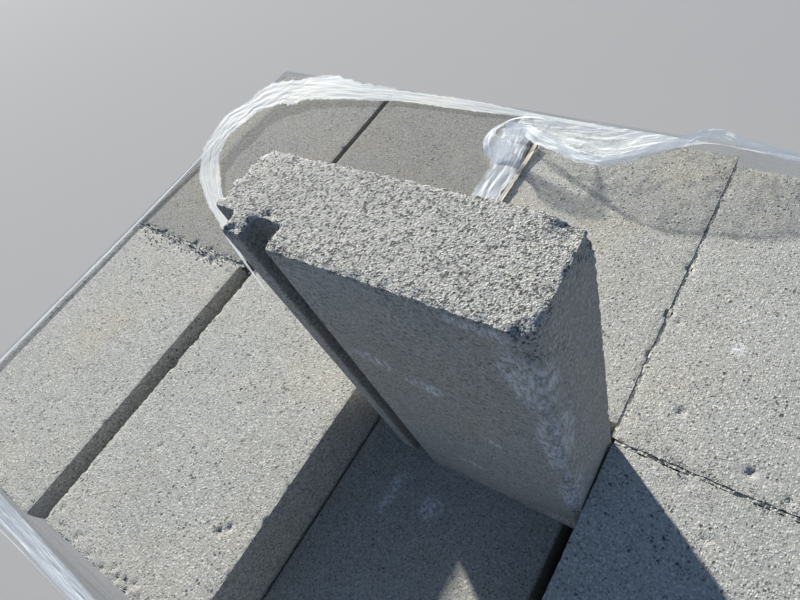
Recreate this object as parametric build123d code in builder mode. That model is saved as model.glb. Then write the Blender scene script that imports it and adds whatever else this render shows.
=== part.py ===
from build123d import *
import math
import os

# A pallet of solid concrete wall blocks, wrapped in clear stretch film. One block of the top
# layer has been lifted out of its place and stands on end in it.
# X runs along the pallet's stringers, Y along its deck boards, Z is up, all in millimetres.
# The origin is on the ground, under the middle of the pallet.

# Block: a nominal 12 x 18 x 4 inch unit, less 3/8 inch for the joint. It lies with its plain
# face up and its ribbed face down, the rib and its slot on the left.
BLOCK_WIDTH = 295.0
BLOCK_LENGTH = 448.0
BLOCK_THICKNESS = 92.0
REBATE_WIDTH = 27.0
RIB_WIDTH = 21.0
SLOT_WIDTH = 24.0
GROOVE_DEPTH = 23.0
RIB_SETBACK = 3.0
SLOT_BEVEL = 8.0
NOSE_RADIUS = 12.0
ARRIS = 2.0

# Stack: four columns along X and two rows along Y, in six full layers and one part layer.
COLUMNS = 4
FULL_LAYERS = 6
COLUMN_GAP = 12.0
ROW_GAP = 3.0
WANDER_SHARE = 0.4
WANDER_Y = 8.0

# Top layer, which has been handled. Gaps between its blocks, and how far the joint between
# its two rows lies off the middle in each column.
PLACE_SLACK = 30.0
FRONT_LEFT_GAP = 33.0
BACK_LEFT_GAP = 11.0
BACK_MIDDLE_GAP = 44.0
BACK_RIGHT_GAP = 4.0
TOP_ROW_GAP = 3.0
SEAM_LEFT = 11.0
SEAM_MIDDLE_LEFT = 19.5
SEAM_MIDDLE_RIGHT = 0.5
SEAM_RIGHT = -18.0

# Block on end in the empty place, turned a little, with its ribbed face to the front.
UPRIGHT_SIDE_GAP = 1.5
UPRIGHT_BACK_GAP = 17.0
UPRIGHT_TURN = 1.3

# Pallet: 48 x 40 inch, three notched stringers, seven deck boards, five bottom boards.
PALLET_LENGTH = 1219.0
PALLET_WIDTH = 1016.0
STRINGER_WIDTH = 38.0
STRINGER_HEIGHT = 89.0
BOARD_THICKNESS = 19.0
LEAD_BOARD_WIDTH = 140.0
INNER_BOARD_WIDTH = 89.0
DECK_BOARDS = 7
BOTTOM_BOARDS = 5
NOTCH_LENGTH = 229.0
NOTCH_HEIGHT = 38.0
NOTCH_FROM_END = 152.0
NOTCH_RADIUS = 13.0
NOTCH_SIDE_MARGIN = 12.0

# Stretch film: a thin wall round the load with a rolled hem on its top edge, gathered into a
# flat band over the back left corner and along the back, with a tail in the widest gap.
FILM_THICKNESS = 1.0
FILM_CLEARANCE = 1.0
FILM_CORNER_RADIUS = 4.0
FILM_SEAT = 0.3
FILM_FOOT = 3.0
HEM_WIDTH = 9.0
HEM_HEIGHT = 7.0
BAND_WIDTH = 32.0
BAND_HEIGHT = 9.0
BAND_CORNER_RADIUS = 110.0
BAND_INSET = 1.5
BAND_FRONT_REACH = 300.0
TAIL_LENGTH = 190.0
TAIL_DEPTH = 14.0
TAIL_SIDE_GAP = 5.0

os.makedirs("parts", exist_ok=True)

deck_top = 2 * BOARD_THICKNESS + STRINGER_HEIGHT
top_layer_base = deck_top + FULL_LAYERS * BLOCK_THICKNESS
load_top = top_layer_base + BLOCK_THICKNESS

blocks_width = COLUMNS * BLOCK_WIDTH
front_row_width = blocks_width + PLACE_SLACK + FRONT_LEFT_GAP
back_row_width = blocks_width + BACK_LEFT_GAP + BACK_MIDDLE_GAP + BACK_RIGHT_GAP
full_layer_width = blocks_width + (COLUMNS - 1) * COLUMN_GAP
wander_x = WANDER_SHARE * COLUMN_GAP
top_half_x = max(front_row_width, back_row_width) / 2
load_half_x = max(top_half_x, full_layer_width / 2 + wander_x)

top_row_reach = BLOCK_LENGTH + TOP_ROW_GAP / 2
widest_seam = max(abs(seam) for seam in (SEAM_LEFT, SEAM_MIDDLE_LEFT, SEAM_MIDDLE_RIGHT, SEAM_RIGHT))
full_row_reach = BLOCK_LENGTH + ROW_GAP / 2 + WANDER_Y
load_half_y = max(top_row_reach + widest_seam, full_row_reach)


def save(piece, label):
    """Names a finished piece and writes it."""
    piece.label = label
    export_step(piece, f"parts/{label}.step")


def block(plane):
    """One block with its middle at the plane's origin and its length along the plane's normal. On the
    plane its ribbed face is at the bottom, its plain face at the top and its rib and slot on the left."""
    right = BLOCK_WIDTH / 2
    left = -right
    plain_face = BLOCK_THICKNESS / 2
    ribbed_face = -plain_face
    groove = ribbed_face + GROOVE_DEPTH
    rib_tip = ribbed_face + RIB_SETBACK
    rib_left = left + REBATE_WIDTH
    rib_right = rib_left + RIB_WIDTH
    main_left = rib_right + SLOT_WIDTH
    with BuildPart() as solid_block:
        with BuildSketch(plane):
            with BuildLine():
                Polyline(
                    (right, ribbed_face + NOSE_RADIUS),
                    (right, plain_face - ARRIS),
                    (right - ARRIS, plain_face),
                    (left + ARRIS, plain_face),
                    (left, plain_face - ARRIS),
                    (left, groove + ARRIS),
                    (left + ARRIS, groove),
                    (rib_left, groove),
                    (rib_left, rib_tip + ARRIS),
                    (rib_left + ARRIS, rib_tip),
                    (rib_right - ARRIS, rib_tip),
                    (rib_right, rib_tip + ARRIS),
                    (rib_right, groove),
                    (main_left, groove),
                    (main_left, ribbed_face + SLOT_BEVEL),
                    (main_left + SLOT_BEVEL, ribbed_face),
                    (right - NOSE_RADIUS, ribbed_face),
                )
                RadiusArc((right - NOSE_RADIUS, ribbed_face), (right, ribbed_face + NOSE_RADIUS), -NOSE_RADIUS)
            make_face()
        extrude(amount=BLOCK_LENGTH / 2, both=True)
    return solid_block.part


def save_full_layer(layer):
    """Eight lying blocks that don't touch, each a little off its place in the grid."""
    lying = block(Plane.XZ)
    middle_height = deck_top + (layer + 0.5) * BLOCK_THICKNESS
    row_middle = (BLOCK_LENGTH + ROW_GAP) / 2
    with BuildPart() as layer_blocks:
        for column in range(COLUMNS):
            nominal = (column - (COLUMNS - 1) / 2) * (BLOCK_WIDTH + COLUMN_GAP)
            outer = column in (0, COLUMNS - 1)
            off_x = wander_x * (0.5 if outer else 1) * math.sin(2.1 * layer + 3.7 * column)
            off_y = WANDER_Y * math.sin(1.3 * layer + 2.3 * column)
            for row in (-1, 1):
                with Locations((nominal + off_x, row * row_middle + off_y, middle_height)):
                    add(lying)
    save(layer_blocks.part, f"block_layer_{layer + 1}")


def save_top_block(label, right_side, seam, row):
    """A block of the top layer, by its right side and the joint between the rows: row -1 is the front."""
    middle_y = seam + row * (BLOCK_LENGTH + TOP_ROW_GAP) / 2
    middle = (right_side - BLOCK_WIDTH / 2, middle_y, top_layer_base + BLOCK_THICKNESS / 2)
    save(block(Plane(origin=middle, x_dir=(1, 0, 0), z_dir=(0, -1, 0))), label)


def stringer_with_notches(middle_y):
    """A board on edge along X with two rounded notches in its lower edge for forks from the side."""
    notch_middle = PALLET_LENGTH / 2 - NOTCH_FROM_END - NOTCH_LENGTH / 2
    with BuildPart() as stringer:
        with BuildSketch(Plane.XZ.offset(-middle_y)):
            with Locations((0, BOARD_THICKNESS + STRINGER_HEIGHT / 2)):
                Rectangle(PALLET_LENGTH, STRINGER_HEIGHT)
            with Locations((-notch_middle, BOARD_THICKNESS), (notch_middle, BOARD_THICKNESS)):
                Rectangle(NOTCH_LENGTH, 2 * NOTCH_HEIGHT, mode=Mode.SUBTRACT)
        extrude(amount=STRINGER_WIDTH / 2, both=True)
        notch_roof = BOARD_THICKNESS + NOTCH_HEIGHT
        roof_corners = stringer.edges().filter_by(Axis.Y).filter_by_position(
            Axis.Z, notch_roof - 1, notch_roof + 1
        )
        fillet(roof_corners, NOTCH_RADIUS)
    return stringer.part


def save_board(label, middle_x, width, base):
    """One board across the stringers, with eased long edges."""
    with BuildPart() as board:
        with BuildSketch(Plane.XY.offset(base)):
            with Locations((middle_x, 0)):
                Rectangle(width, PALLET_WIDTH)
        extrude(amount=BOARD_THICKNESS)
        chamfer(board.edges().filter_by(Axis.Y), ARRIS)
    save(board.part, label)


def save_deck(name, count, inner_reach, base):
    """A deck of boards: a wide one at each end, and narrower ones evenly spaced out to the inner reach."""
    lead_middle = (PALLET_LENGTH - LEAD_BOARD_WIDTH) / 2
    inner = count - 2
    save_board(f"{name}_1", -lead_middle, LEAD_BOARD_WIDTH, base)
    for number in range(inner):
        middle_x = inner_reach * (2 * number / (inner - 1) - 1)
        save_board(f"{name}_{number + 2}", middle_x, INNER_BOARD_WIDTH, base)
    save_board(f"{name}_{count}", lead_middle, LEAD_BOARD_WIDTH, base)


# Pallet: the inner deck boards share the space between the lead boards, and the inner bottom
# boards lie on the land between the notches
stringer_y = (PALLET_WIDTH - STRINGER_WIDTH) / 2
for side, label in ((-1, "stringer_front"), (0, "stringer_middle"), (1, "stringer_back")):
    save(stringer_with_notches(side * stringer_y), label)
deck_pitch = (PALLET_LENGTH - LEAD_BOARD_WIDTH) / (DECK_BOARDS - 1)
deck_reach = deck_pitch * (DECK_BOARDS - 3) / 2
land_reach = PALLET_LENGTH / 2 - NOTCH_FROM_END - NOTCH_LENGTH - NOTCH_SIDE_MARGIN - INNER_BOARD_WIDTH / 2
save_deck("bottom_board", BOTTOM_BOARDS, land_reach, 0)
save_deck("deck_board", DECK_BOARDS, deck_reach, BOARD_THICKNESS + STRINGER_HEIGHT)

# Blocks of the full layers
for layer in range(FULL_LAYERS):
    save_full_layer(layer)

# Top layer: the right side of each block, counted from the right end of the load
place_right = top_half_x - BLOCK_WIDTH
front_middle = place_right - BLOCK_WIDTH - PLACE_SLACK
front_left = front_middle - BLOCK_WIDTH - FRONT_LEFT_GAP
save_top_block("top_block_front_left", front_left, SEAM_LEFT, -1)
save_top_block("top_block_front_middle", front_middle, SEAM_MIDDLE_LEFT, -1)
save_top_block("top_block_front_right", top_half_x, SEAM_RIGHT, -1)

back_middle_right = top_half_x - BLOCK_WIDTH - BACK_RIGHT_GAP
back_middle_left = back_middle_right - BLOCK_WIDTH - BACK_MIDDLE_GAP
back_left = back_middle_left - BLOCK_WIDTH - BACK_LEFT_GAP
save_top_block("top_block_back_left", back_left, SEAM_LEFT, 1)
save_top_block("top_block_back_middle_left", back_middle_left, SEAM_MIDDLE_LEFT, 1)
save_top_block("top_block_back_middle_right", back_middle_right, SEAM_MIDDLE_RIGHT, 1)
save_top_block("top_block_back_right", top_half_x, SEAM_RIGHT, 1)

# Block on end: the reach of its turned outline sets how close it stands to its neighbours
turn = math.radians(UPRIGHT_TURN)
reach_x = (BLOCK_WIDTH * math.cos(turn) + BLOCK_THICKNESS * math.sin(turn)) / 2
reach_y = (BLOCK_WIDTH * math.sin(turn) + BLOCK_THICKNESS * math.cos(turn)) / 2
place_back = SEAM_MIDDLE_RIGHT + TOP_ROW_GAP / 2
upright_middle = (
    place_right - UPRIGHT_SIDE_GAP - reach_x,
    place_back - UPRIGHT_BACK_GAP - reach_y,
    top_layer_base + BLOCK_LENGTH / 2,
)
turned_x = (math.cos(turn), math.sin(turn), 0)
save(block(Plane(origin=upright_middle, x_dir=turned_x, z_dir=(0, 0, 1))), "upright_block")

# Stretch film
film_inner_x = 2 * (load_half_x + FILM_CLEARANCE)
film_inner_y = 2 * (load_half_y + FILM_CLEARANCE)
film_outer_x = film_inner_x + 2 * FILM_THICKNESS
film_outer_y = film_inner_y + 2 * FILM_THICKNESS
film_bottom = deck_top + FILM_FOOT
hem_bottom = load_top + FILM_SEAT
band_middle = BAND_INSET + BAND_WIDTH / 2
band_x = film_outer_x / 2 - band_middle
band_y = film_outer_y / 2 - band_middle
tail_width = BACK_MIDDLE_GAP - 2 * TAIL_SIDE_GAP
tail_x = back_middle_left + BACK_MIDDLE_GAP / 2
with BuildPart() as film:
    with BuildSketch(Plane.XY.offset(film_bottom)):
        RectangleRounded(film_outer_x, film_outer_y, FILM_CORNER_RADIUS + FILM_THICKNESS)
        RectangleRounded(film_inner_x, film_inner_y, FILM_CORNER_RADIUS, mode=Mode.SUBTRACT)
    extrude(amount=hem_bottom + HEM_HEIGHT - film_bottom)
    with BuildSketch(Plane.XY.offset(hem_bottom)):
        RectangleRounded(film_outer_x, film_outer_y, FILM_CORNER_RADIUS + FILM_THICKNESS)
        Rectangle(film_outer_x - 2 * HEM_WIDTH, film_outer_y - 2 * HEM_WIDTH, mode=Mode.SUBTRACT)
    extrude(amount=HEM_HEIGHT)
    with BuildLine(Plane.XY.offset(hem_bottom + BAND_HEIGHT / 2)) as band_route:
        FilletPolyline(
            (-band_x, band_y - BAND_FRONT_REACH),
            (-band_x, band_y),
            (band_x, band_y),
            radius=BAND_CORNER_RADIUS,
        )
    with BuildSketch(Plane(origin=band_route.line @ 0, x_dir=(1, 0, 0), z_dir=band_route.line % 0)):
        SlotOverall(BAND_WIDTH, BAND_HEIGHT)
    sweep(path=band_route.line)
    with BuildSketch(Plane.XY.offset(load_top - TAIL_DEPTH)):
        with Locations((tail_x, band_y - TAIL_LENGTH / 2)):
            RectangleRounded(tail_width, TAIL_LENGTH, tail_width / 3)
    extrude(amount=TAIL_DEPTH + FILM_SEAT + BAND_HEIGHT)
save(film.part, "stretch_film")
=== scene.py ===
"""Finish for a pallet of concrete wall blocks in stretch film: worn concrete, sawn timber, gathered film.

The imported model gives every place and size. The full layers and the pallet keep their own solids and get
a material. The blocks of the top layer and the film are modelled again, with crumbled arrises and pleats.
Lengths are in metres, X along the stringers, Y along the deck boards, Z up.
"""

import math
import random

import bmesh
import bpy
from bpy.props import FloatProperty, FloatVectorProperty, IntProperty, PointerProperty
from mathutils import Matrix, Vector, noise


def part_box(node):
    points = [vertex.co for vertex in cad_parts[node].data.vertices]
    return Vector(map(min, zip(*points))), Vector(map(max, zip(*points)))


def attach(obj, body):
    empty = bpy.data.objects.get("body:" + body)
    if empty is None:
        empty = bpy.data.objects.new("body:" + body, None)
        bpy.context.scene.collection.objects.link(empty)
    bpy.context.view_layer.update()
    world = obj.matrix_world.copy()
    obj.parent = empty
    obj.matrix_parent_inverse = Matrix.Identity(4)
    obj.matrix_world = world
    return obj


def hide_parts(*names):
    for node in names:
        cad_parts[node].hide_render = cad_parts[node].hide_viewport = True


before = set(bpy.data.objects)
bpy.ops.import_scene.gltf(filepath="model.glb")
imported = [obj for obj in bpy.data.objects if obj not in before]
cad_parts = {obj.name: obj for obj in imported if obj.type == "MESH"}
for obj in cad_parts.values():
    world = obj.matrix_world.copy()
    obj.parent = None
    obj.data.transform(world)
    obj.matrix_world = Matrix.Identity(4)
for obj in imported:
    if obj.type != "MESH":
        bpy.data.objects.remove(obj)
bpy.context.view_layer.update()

bl_info = {
    "name": "Concrete Block Pallet",
    "version": (1, 0, 0),
    "blender": (4, 5, 0),
    "location": "View3D > Sidebar > Block Pallet",
    "description": "Finishes a wrapped pallet of concrete wall blocks around its packed frame",
    "category": "Add Mesh",
}

MM = 0.001
WELD = 0.00001
BODY = "root"
UP = Vector((0, 0, 1))
FILM_INSET = 1.2 * MM

# The load, read from the frame
block_low, block_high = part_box("top_block_front_left")
block_width, _, block_thickness = block_high - block_low
load_top = block_high.z
deck_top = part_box("deck_board_1")[1].z
film_low, film_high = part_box("stretch_film")
film_half_x = film_high.x - FILM_INSET
film_half_y = film_high.y - FILM_INSET

# Camera, over the load's right front and looking down to its back left, as the photograph was taken
CAMERA_PLACE = (0.4361, -0.2393, 1.404)
CAMERA_RIGHT = (0.8359, 0.4947, -0.2377)
CAMERA_UP = (-0.3020, 0.7762, 0.5535)
CAMERA_LENS_MM = 26.04
CAMERA_SHIFT = (-0.0771, 0.012)

# Low key light from the back left
KEY_TOWARDS = (-0.84, 0.54)
KEY_ELEVATION = math.radians(20.1)
KEY_DISTANCE = 42.0
KEY_COLOUR = (1.0, 0.965, 0.885)

# Stage round the load
FLOOR_REACH = 14
SKY_COLOUR = (0.37, 0.59, 1.0, 1)
BACKDROP_COLOUR = (0.85, 0.86, 0.87, 1)
BACKDROP_STRENGTH = 0.9

# How the blocks stand: the gap between the columns of a full layer, and the turn of the block on end
COLUMN_GAP = 12 * MM
UPRIGHT_TURN = math.radians(1.3)

# A block's grooves: the far edge of its slot from its left side, how deep under its sides a groove starts,
# and how much painted shade darkens it
SLOT_EDGE = 72 * MM
GROOVE_START = 4 * MM
GROOVE_SHADE = 0.35

# A block's mesh: the angle from which an edge stays sharp, and the share of a cell within which a vertex
# goes back onto a side
SHARP = math.radians(35)
SNAP_SHARE = 0.8

# A block's torn ends: how far their look reaches along it, and how deep their rim is broken. The rim is where
# the normal has less than this share of its length along the block.
ROUGH_REACH = 38 * MM
RIM_DEPTH = 2.6 * MM
RIM_SLOPE = 0.93

# Tones that go with the colours in the settings
EARTH_STAIN = (0.50, 0.43, 0.30, 1)
DARK_RING = (0.16, 0.10, 0.055, 1)
PALE_FIBRE = (0.60, 0.46, 0.30, 1)
BARE_STEEL = (0.30, 0.29, 0.28, 1)
RUST = (0.20, 0.09, 0.04, 1)

# Nail heads: their place from a board's edge, their stagger, their thickness, and how far they stand out of
# the deck's boards and of the bottom boards
NAIL_INSET = 22 * MM
NAIL_STAGGER = 5 * MM
NAIL_DEPTH = 1.2 * MM
NAIL_PROUD_ABOVE = 0.3 * MM
NAIL_PROUD_BELOW = 0.05 * MM

# Film wall: the radius of its corners, how far it stands up over the load, how far under the load's top it
# starts to hang slack, over what height it gets slack, and how deep it then hangs inward
FILM_CORNER = 6 * MM
FILM_RISE = 4 * MM
SLACK_START = 95 * MM
SLACK_FADE = 50 * MM
SLACK_DEPTH = 5 * MM

# Film strips: in millimetres along one, the length of its pleats
# and the lengths over which its edge frays
PLEAT_RUN = 42
FRAY_RUN = 70
FINE_FRAY_RUN = 11

# Where the flap comes up over the load's back edge, in millimetres
FLAP_ROOT_Y = 466.0
FLAP_ROOT_RISE = 1.5


class ConcreteSettings(bpy.types.PropertyGroup):
    """Colours and wear of the pressed concrete."""

    face: FloatVectorProperty(
        name="Face", description="Smooth pressed face", subtype="COLOR", size=4, min=0, max=1,
        default=(0.430, 0.430, 0.400, 1),
    )
    pale: FloatVectorProperty(
        name="Pale grain", description="Light grains of sand and scuffs", subtype="COLOR", size=4,
        min=0, max=1, default=(0.680, 0.665, 0.610, 1),
    )
    # The pit tone is also the painted shade in pores, holes and grooves, and the painted shadow on some
    # blocks
    pit: FloatVectorProperty(
        name="Pit", description="Bottom of pits and open pores", subtype="COLOR", size=4, min=0, max=1,
        default=(0.085, 0.085, 0.088, 1),
    )
    scrape: FloatVectorProperty(
        name="Scrape", description="Lime dust where a block was scraped", subtype="COLOR", size=4,
        min=0, max=1, default=(0.900, 0.920, 0.940, 1),
    )
    step: FloatProperty(
        name="Mesh step", description="Size of a block's mesh cells", unit="LENGTH", default=3.2 * MM
    )
    fine_step: FloatProperty(
        name="Fine mesh step", description="Size of the cells of the block on end", unit="LENGTH",
        default=2.5 * MM,
    )
    wear_reach: FloatProperty(
        name="Wear reach", description="How far from an arris it crumbles", unit="LENGTH", default=7 * MM
    )
    wear_depth: FloatProperty(
        name="Wear depth", description="How deep an arris crumbles", unit="LENGTH", default=2.0 * MM
    )


class TimberSettings(bpy.types.PropertyGroup):
    """Colours of the pallet and the size of its nails."""

    wood: FloatVectorProperty(
        name="Wood", description="Sawn softwood", subtype="COLOR", size=4, min=0, max=1,
        default=(0.400, 0.305, 0.205, 1),
    )
    weathered: FloatVectorProperty(
        name="Weathered", description="Greyed wood", subtype="COLOR", size=4, min=0, max=1,
        default=(0.330, 0.300, 0.260, 1),
    )
    nail_radius: FloatProperty(
        name="Nail radius", description="Radius of a nail's head", unit="LENGTH", default=3.6 * MM
    )


class FilmSettings(bpy.types.PropertyGroup):
    """Colours and folds of the stretch film."""

    clear: FloatVectorProperty(
        name="Clear film", description="Film that is stretched flat", subtype="COLOR", size=4, min=0, max=1,
        default=(0.560, 0.630, 0.710, 1),
    )
    gathered: FloatVectorProperty(
        name="Gathered film", description="Film where many layers lie together", subtype="COLOR", size=4,
        min=0, max=1, default=(0.870, 0.880, 0.890, 1),
    )
    haze: FloatVectorProperty(
        name="Hazy film", description="Film between folds, where a few layers lie together",
        subtype="COLOR", size=4, min=0, max=1, default=(0.660, 0.710, 0.760, 1),
    )
    cream: FloatVectorProperty(
        name="Lit fold", description="Fold with light behind it", subtype="COLOR", size=4, min=0, max=1,
        default=(0.800, 0.760, 0.630, 1),
    )
    strand: FloatVectorProperty(
        name="Twisted strand", description="Strand twisted tight", subtype="COLOR", size=4, min=0, max=1,
        default=(0.400, 0.360, 0.300, 1),
    )
    rows: IntProperty(name="Rows", description="Rows of cells up the film wall", default=56)
    columns: IntProperty(name="Columns", description="Cells round the film wall", default=520)


class StageSettings(bpy.types.PropertyGroup):
    """Floor and light."""

    floor: FloatVectorProperty(
        name="Floor", description="Plain pale floor", subtype="COLOR", size=4, min=0, max=1,
        default=(0.420, 0.420, 0.420, 1),
    )
    key_power: FloatProperty(
        name="Key power", description="Power of the key light", unit="POWER", default=43300.0
    )
    key_size: FloatProperty(
        name="Key size", description="Width of the key light", unit="LENGTH", default=1.5
    )
    sky: FloatProperty(name="Sky", description="Strength of the world's light", default=0.28)


class Wiring:
    """Adds nodes to a tree. An input is given as a value or as another node's output."""

    def __init__(self, tree):
        self.tree = tree

    def feed(self, sockets, values):
        """Gives each named socket its value, or links another node's output to it."""
        for key, value in values.items():
            if isinstance(value, bpy.types.NodeSocket):
                self.tree.links.new(value, sockets[key])
            else:
                sockets[key].default_value = value

    def node(self, kind, inputs=None, **settings):
        made = self.tree.nodes.new(kind)
        for key, value in settings.items():
            setattr(made, key, value)
        self.feed(made.inputs, inputs or {})
        return made

    def group(self, tree, inputs):
        return self.node("ShaderNodeGroup", inputs, node_tree=tree).outputs

    def math(self, operation, *values, clamp=False):
        inputs = dict(enumerate(values))
        return self.node("ShaderNodeMath", inputs, operation=operation, use_clamp=clamp).outputs[0]

    def times(self, first, second):
        return self.math("MULTIPLY", first, second)

    def rest(self, value):
        """What is left of one after the value is taken off."""
        return self.math("SUBTRACT", 1.0, value)

    def vector(self, operation, *values):
        inputs = dict(enumerate(values))
        return self.node("ShaderNodeVectorMath", inputs, operation=operation).outputs[0]

    def mix(self, share, first, second):
        inputs = {0: share, 6: first, 7: second}
        return self.node("ShaderNodeMix", inputs, data_type="RGBA", clamp_factor=True).outputs[2]

    def noise(self, vector, scale, detail=2.0, roughness=0.5):
        inputs = {"Vector": vector, "Scale": scale, "Detail": detail, "Roughness": roughness}
        return self.node("ShaderNodeTexNoise", inputs).outputs[0]

    def bent(self, vector, scale, detail, by):
        """The vector moved about by a noise, so that round cells turn ragged."""
        bend = self.node("ShaderNodeTexNoise", {"Vector": vector, "Scale": scale, "Detail": detail})
        return self.vector("MULTIPLY_ADD", bend.outputs[1], (by, by, by), vector)

    def cells(self, vector, scale):
        """Cells of a random pattern: each one's chance from 0 to 1, and the distance to its middle."""
        inputs = {"Vector": vector, "Scale": scale, "Randomness": 1.0}
        outputs = self.node("ShaderNodeTexVoronoi", inputs).outputs
        chance = self.node("ShaderNodeSeparateColor", {0: outputs["Color"]}).outputs[0]
        return chance, outputs["Distance"]

    def ramp(self, value, low, high, start=0.0, end=1.0):
        """A smooth step from start at low to end at high."""
        inputs = {0: value, 1: low, 2: high, 3: start, 4: end}
        return self.node("ShaderNodeMapRange", inputs, interpolation_type="SMOOTHSTEP", clamp=True).outputs[0]


def shader_group(name, inputs, outputs):
    """A new shader node group with these sockets, given as name: default. A default of a number is a float
    socket, three numbers a vector and four a colour. Returns its wiring, its inputs and its output node."""
    kinds = {1: "NodeSocketFloat", 3: "NodeSocketVector", 4: "NodeSocketColor"}
    tree = bpy.data.node_groups.new(name, "ShaderNodeTree")
    for in_out, sockets in (("INPUT", inputs), ("OUTPUT", outputs)):
        for label, default in sockets.items():
            count = len(default) if hasattr(default, "__len__") else 1
            socket = tree.interface.new_socket(name=label, in_out=in_out, socket_type=kinds[count])
            socket.default_value = default
    return Wiring(tree), tree.nodes.new("NodeGroupInput").outputs, tree.nodes.new("NodeGroupOutput").inputs


def pressed_face_group():
    """Smooth face of a pressed block: fine grey sand, pale and dark grains, and small holes; painted shade in
    holes and pores.
    """
    grey, black = (0.4, 0.4, 0.4, 1), (0.1, 0.1, 0.1, 1)
    inputs = {"Vector": (0, 0, 0), "Face": grey, "Pale": grey, "Pit": black, "Open": 1.0}
    w, given, out = shader_group("Pressed Face", inputs, {"Color": grey, "Height": 0.0})
    place = given["Vector"]
    bent = w.bent(place, 330.0, 1.0, 1.8 * MM)
    cloud = w.noise(place, 9.0, 2.0)
    blotch = w.noise(place, 55.0, 2.0)
    sand = w.noise(place, 380.0, 3.0, 0.7)
    grain_kind, grain_away = w.cells(bent, 240.0)
    grain_body = w.ramp(grain_away, 0.55, 0.30)
    pale_grain = w.times(grain_body, w.ramp(grain_kind, 0.80, 0.90))
    crowd = w.times(w.ramp(w.noise(place, 17.0, 2.0, 0.6), 0.40, 0.70, 0.02, 0.17), given["Open"])
    pore = w.times(grain_body, w.ramp(w.math("SUBTRACT", crowd, grain_kind), 0.0, 0.05))
    speck_kind, speck_away = w.cells(bent, 430.0)
    speck_body = w.ramp(speck_away, 0.65, 0.35)
    light_speck = w.times(speck_body, w.ramp(speck_kind, 0.55, 0.95))
    dark_speck = w.times(speck_body, w.ramp(speck_kind, 0.30, 0.05))
    hole_kind, hole_away = w.cells(w.bent(place, 170.0, 2.0, 7 * MM), 46.0)
    hole_edge = w.ramp(hole_kind, 0.62, 1.0, 0.04, 0.10)
    hole_chosen = w.times(w.ramp(hole_kind, 0.62, 0.64), given["Open"])
    hole = w.times(w.ramp(w.math("SUBTRACT", hole_away, hole_edge), 0.02, -0.02), hole_chosen)
    tone = w.mix(w.ramp(cloud, 0.3, 0.7, 0.0, 0.16), given["Face"], given["Pale"])
    tone = w.mix(w.ramp(blotch, 0.35, 0.7, 0.0, 0.12), tone, given["Pit"])
    tone = w.mix(w.ramp(sand, 0.46, 0.66, 0.0, 0.50), tone, given["Pale"])
    tone = w.mix(w.ramp(sand, 0.50, 0.34, 0.0, 0.38), tone, given["Pit"])
    stain = w.ramp(w.noise(place, 6.0, 3.0, 0.6), 0.40, 0.72, 0.0, 0.32)
    tone = w.mix(stain, tone, EARTH_STAIN)
    tone = w.mix(light_speck, tone, given["Pale"])
    tone = w.mix(w.times(dark_speck, 0.65), tone, given["Pit"])
    tone = w.mix(w.times(pale_grain, 0.85), tone, given["Pale"])
    # Pores and holes turn nearly black: painted shade at their bottoms
    painted_pit_shade = w.math("MAXIMUM", w.times(pore, 0.85), hole)
    tone = w.mix(w.times(painted_pit_shade, 0.9), tone, given["Pit"])
    height = w.times(sand, 0.6 * MM)
    height = w.math("MULTIPLY_ADD", w.math("SUBTRACT", light_speck, dark_speck), 0.35 * MM, height)
    height = w.math("MULTIPLY_ADD", pale_grain, 0.2 * MM, height)
    height = w.math("MULTIPLY_ADD", pore, -0.7 * MM, height)
    height = w.math("MULTIPLY_ADD", hole, -1.6 * MM, height)
    w.feed(out, {"Color": tone, "Height": height})
    return w.tree


def open_end_group():
    """Torn end of a pressed block: coarse pale grains, with painted shade round them and in the dark pores
    between them.
    """
    grey, black = (0.4, 0.4, 0.4, 1), (0.1, 0.1, 0.1, 1)
    inputs = {"Vector": (0, 0, 0), "Face": grey, "Pale": grey, "Pit": black}
    w, given, out = shader_group("Open End", inputs, {"Color": grey, "Height": 0.0})
    place = given["Vector"]
    bent = w.bent(place, 420.0, 1.0, 2.4 * MM)
    grain, grain_away = w.cells(bent, 640.0)
    crumb, _ = w.cells(bent, 1200.0)
    pore_kind, pore_away = w.cells(bent, 520.0)
    dome = w.ramp(grain_away, 0.85, 0.15)
    crowd = w.ramp(w.noise(place, 70.0, 2.0, 0.6), 0.35, 0.65, 0.18, 0.46)
    pore = w.ramp(w.math("SUBTRACT", crowd, pore_kind), 0.0, 0.04)
    pore = w.times(pore, w.ramp(pore_away, 0.75, 0.40))
    tone = w.mix(w.ramp(grain, 0.0, 0.6), given["Face"], given["Pale"])
    # Darker away from each grain's middle: painted shade between the grains
    tone = w.mix(w.ramp(dome, 0.45, 0.0, 0.0, 0.32), tone, given["Pit"])
    tone = w.mix(w.ramp(crumb, 0.40, 0.0, 0.0, 0.25), tone, given["Pit"])
    # Painted shade in the pores
    tone = w.mix(w.times(pore, 0.85), tone, given["Pit"])
    body = w.math("MULTIPLY_ADD", grain, 0.50, w.times(dome, 0.45))
    body = w.math("MULTIPLY_ADD", crumb, 0.32, body)
    body = w.math("SUBTRACT", body, w.times(pore, 0.9))
    w.feed(out, {"Color": tone, "Height": w.times(body, 0.8 * MM)})
    return w.tree


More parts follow.
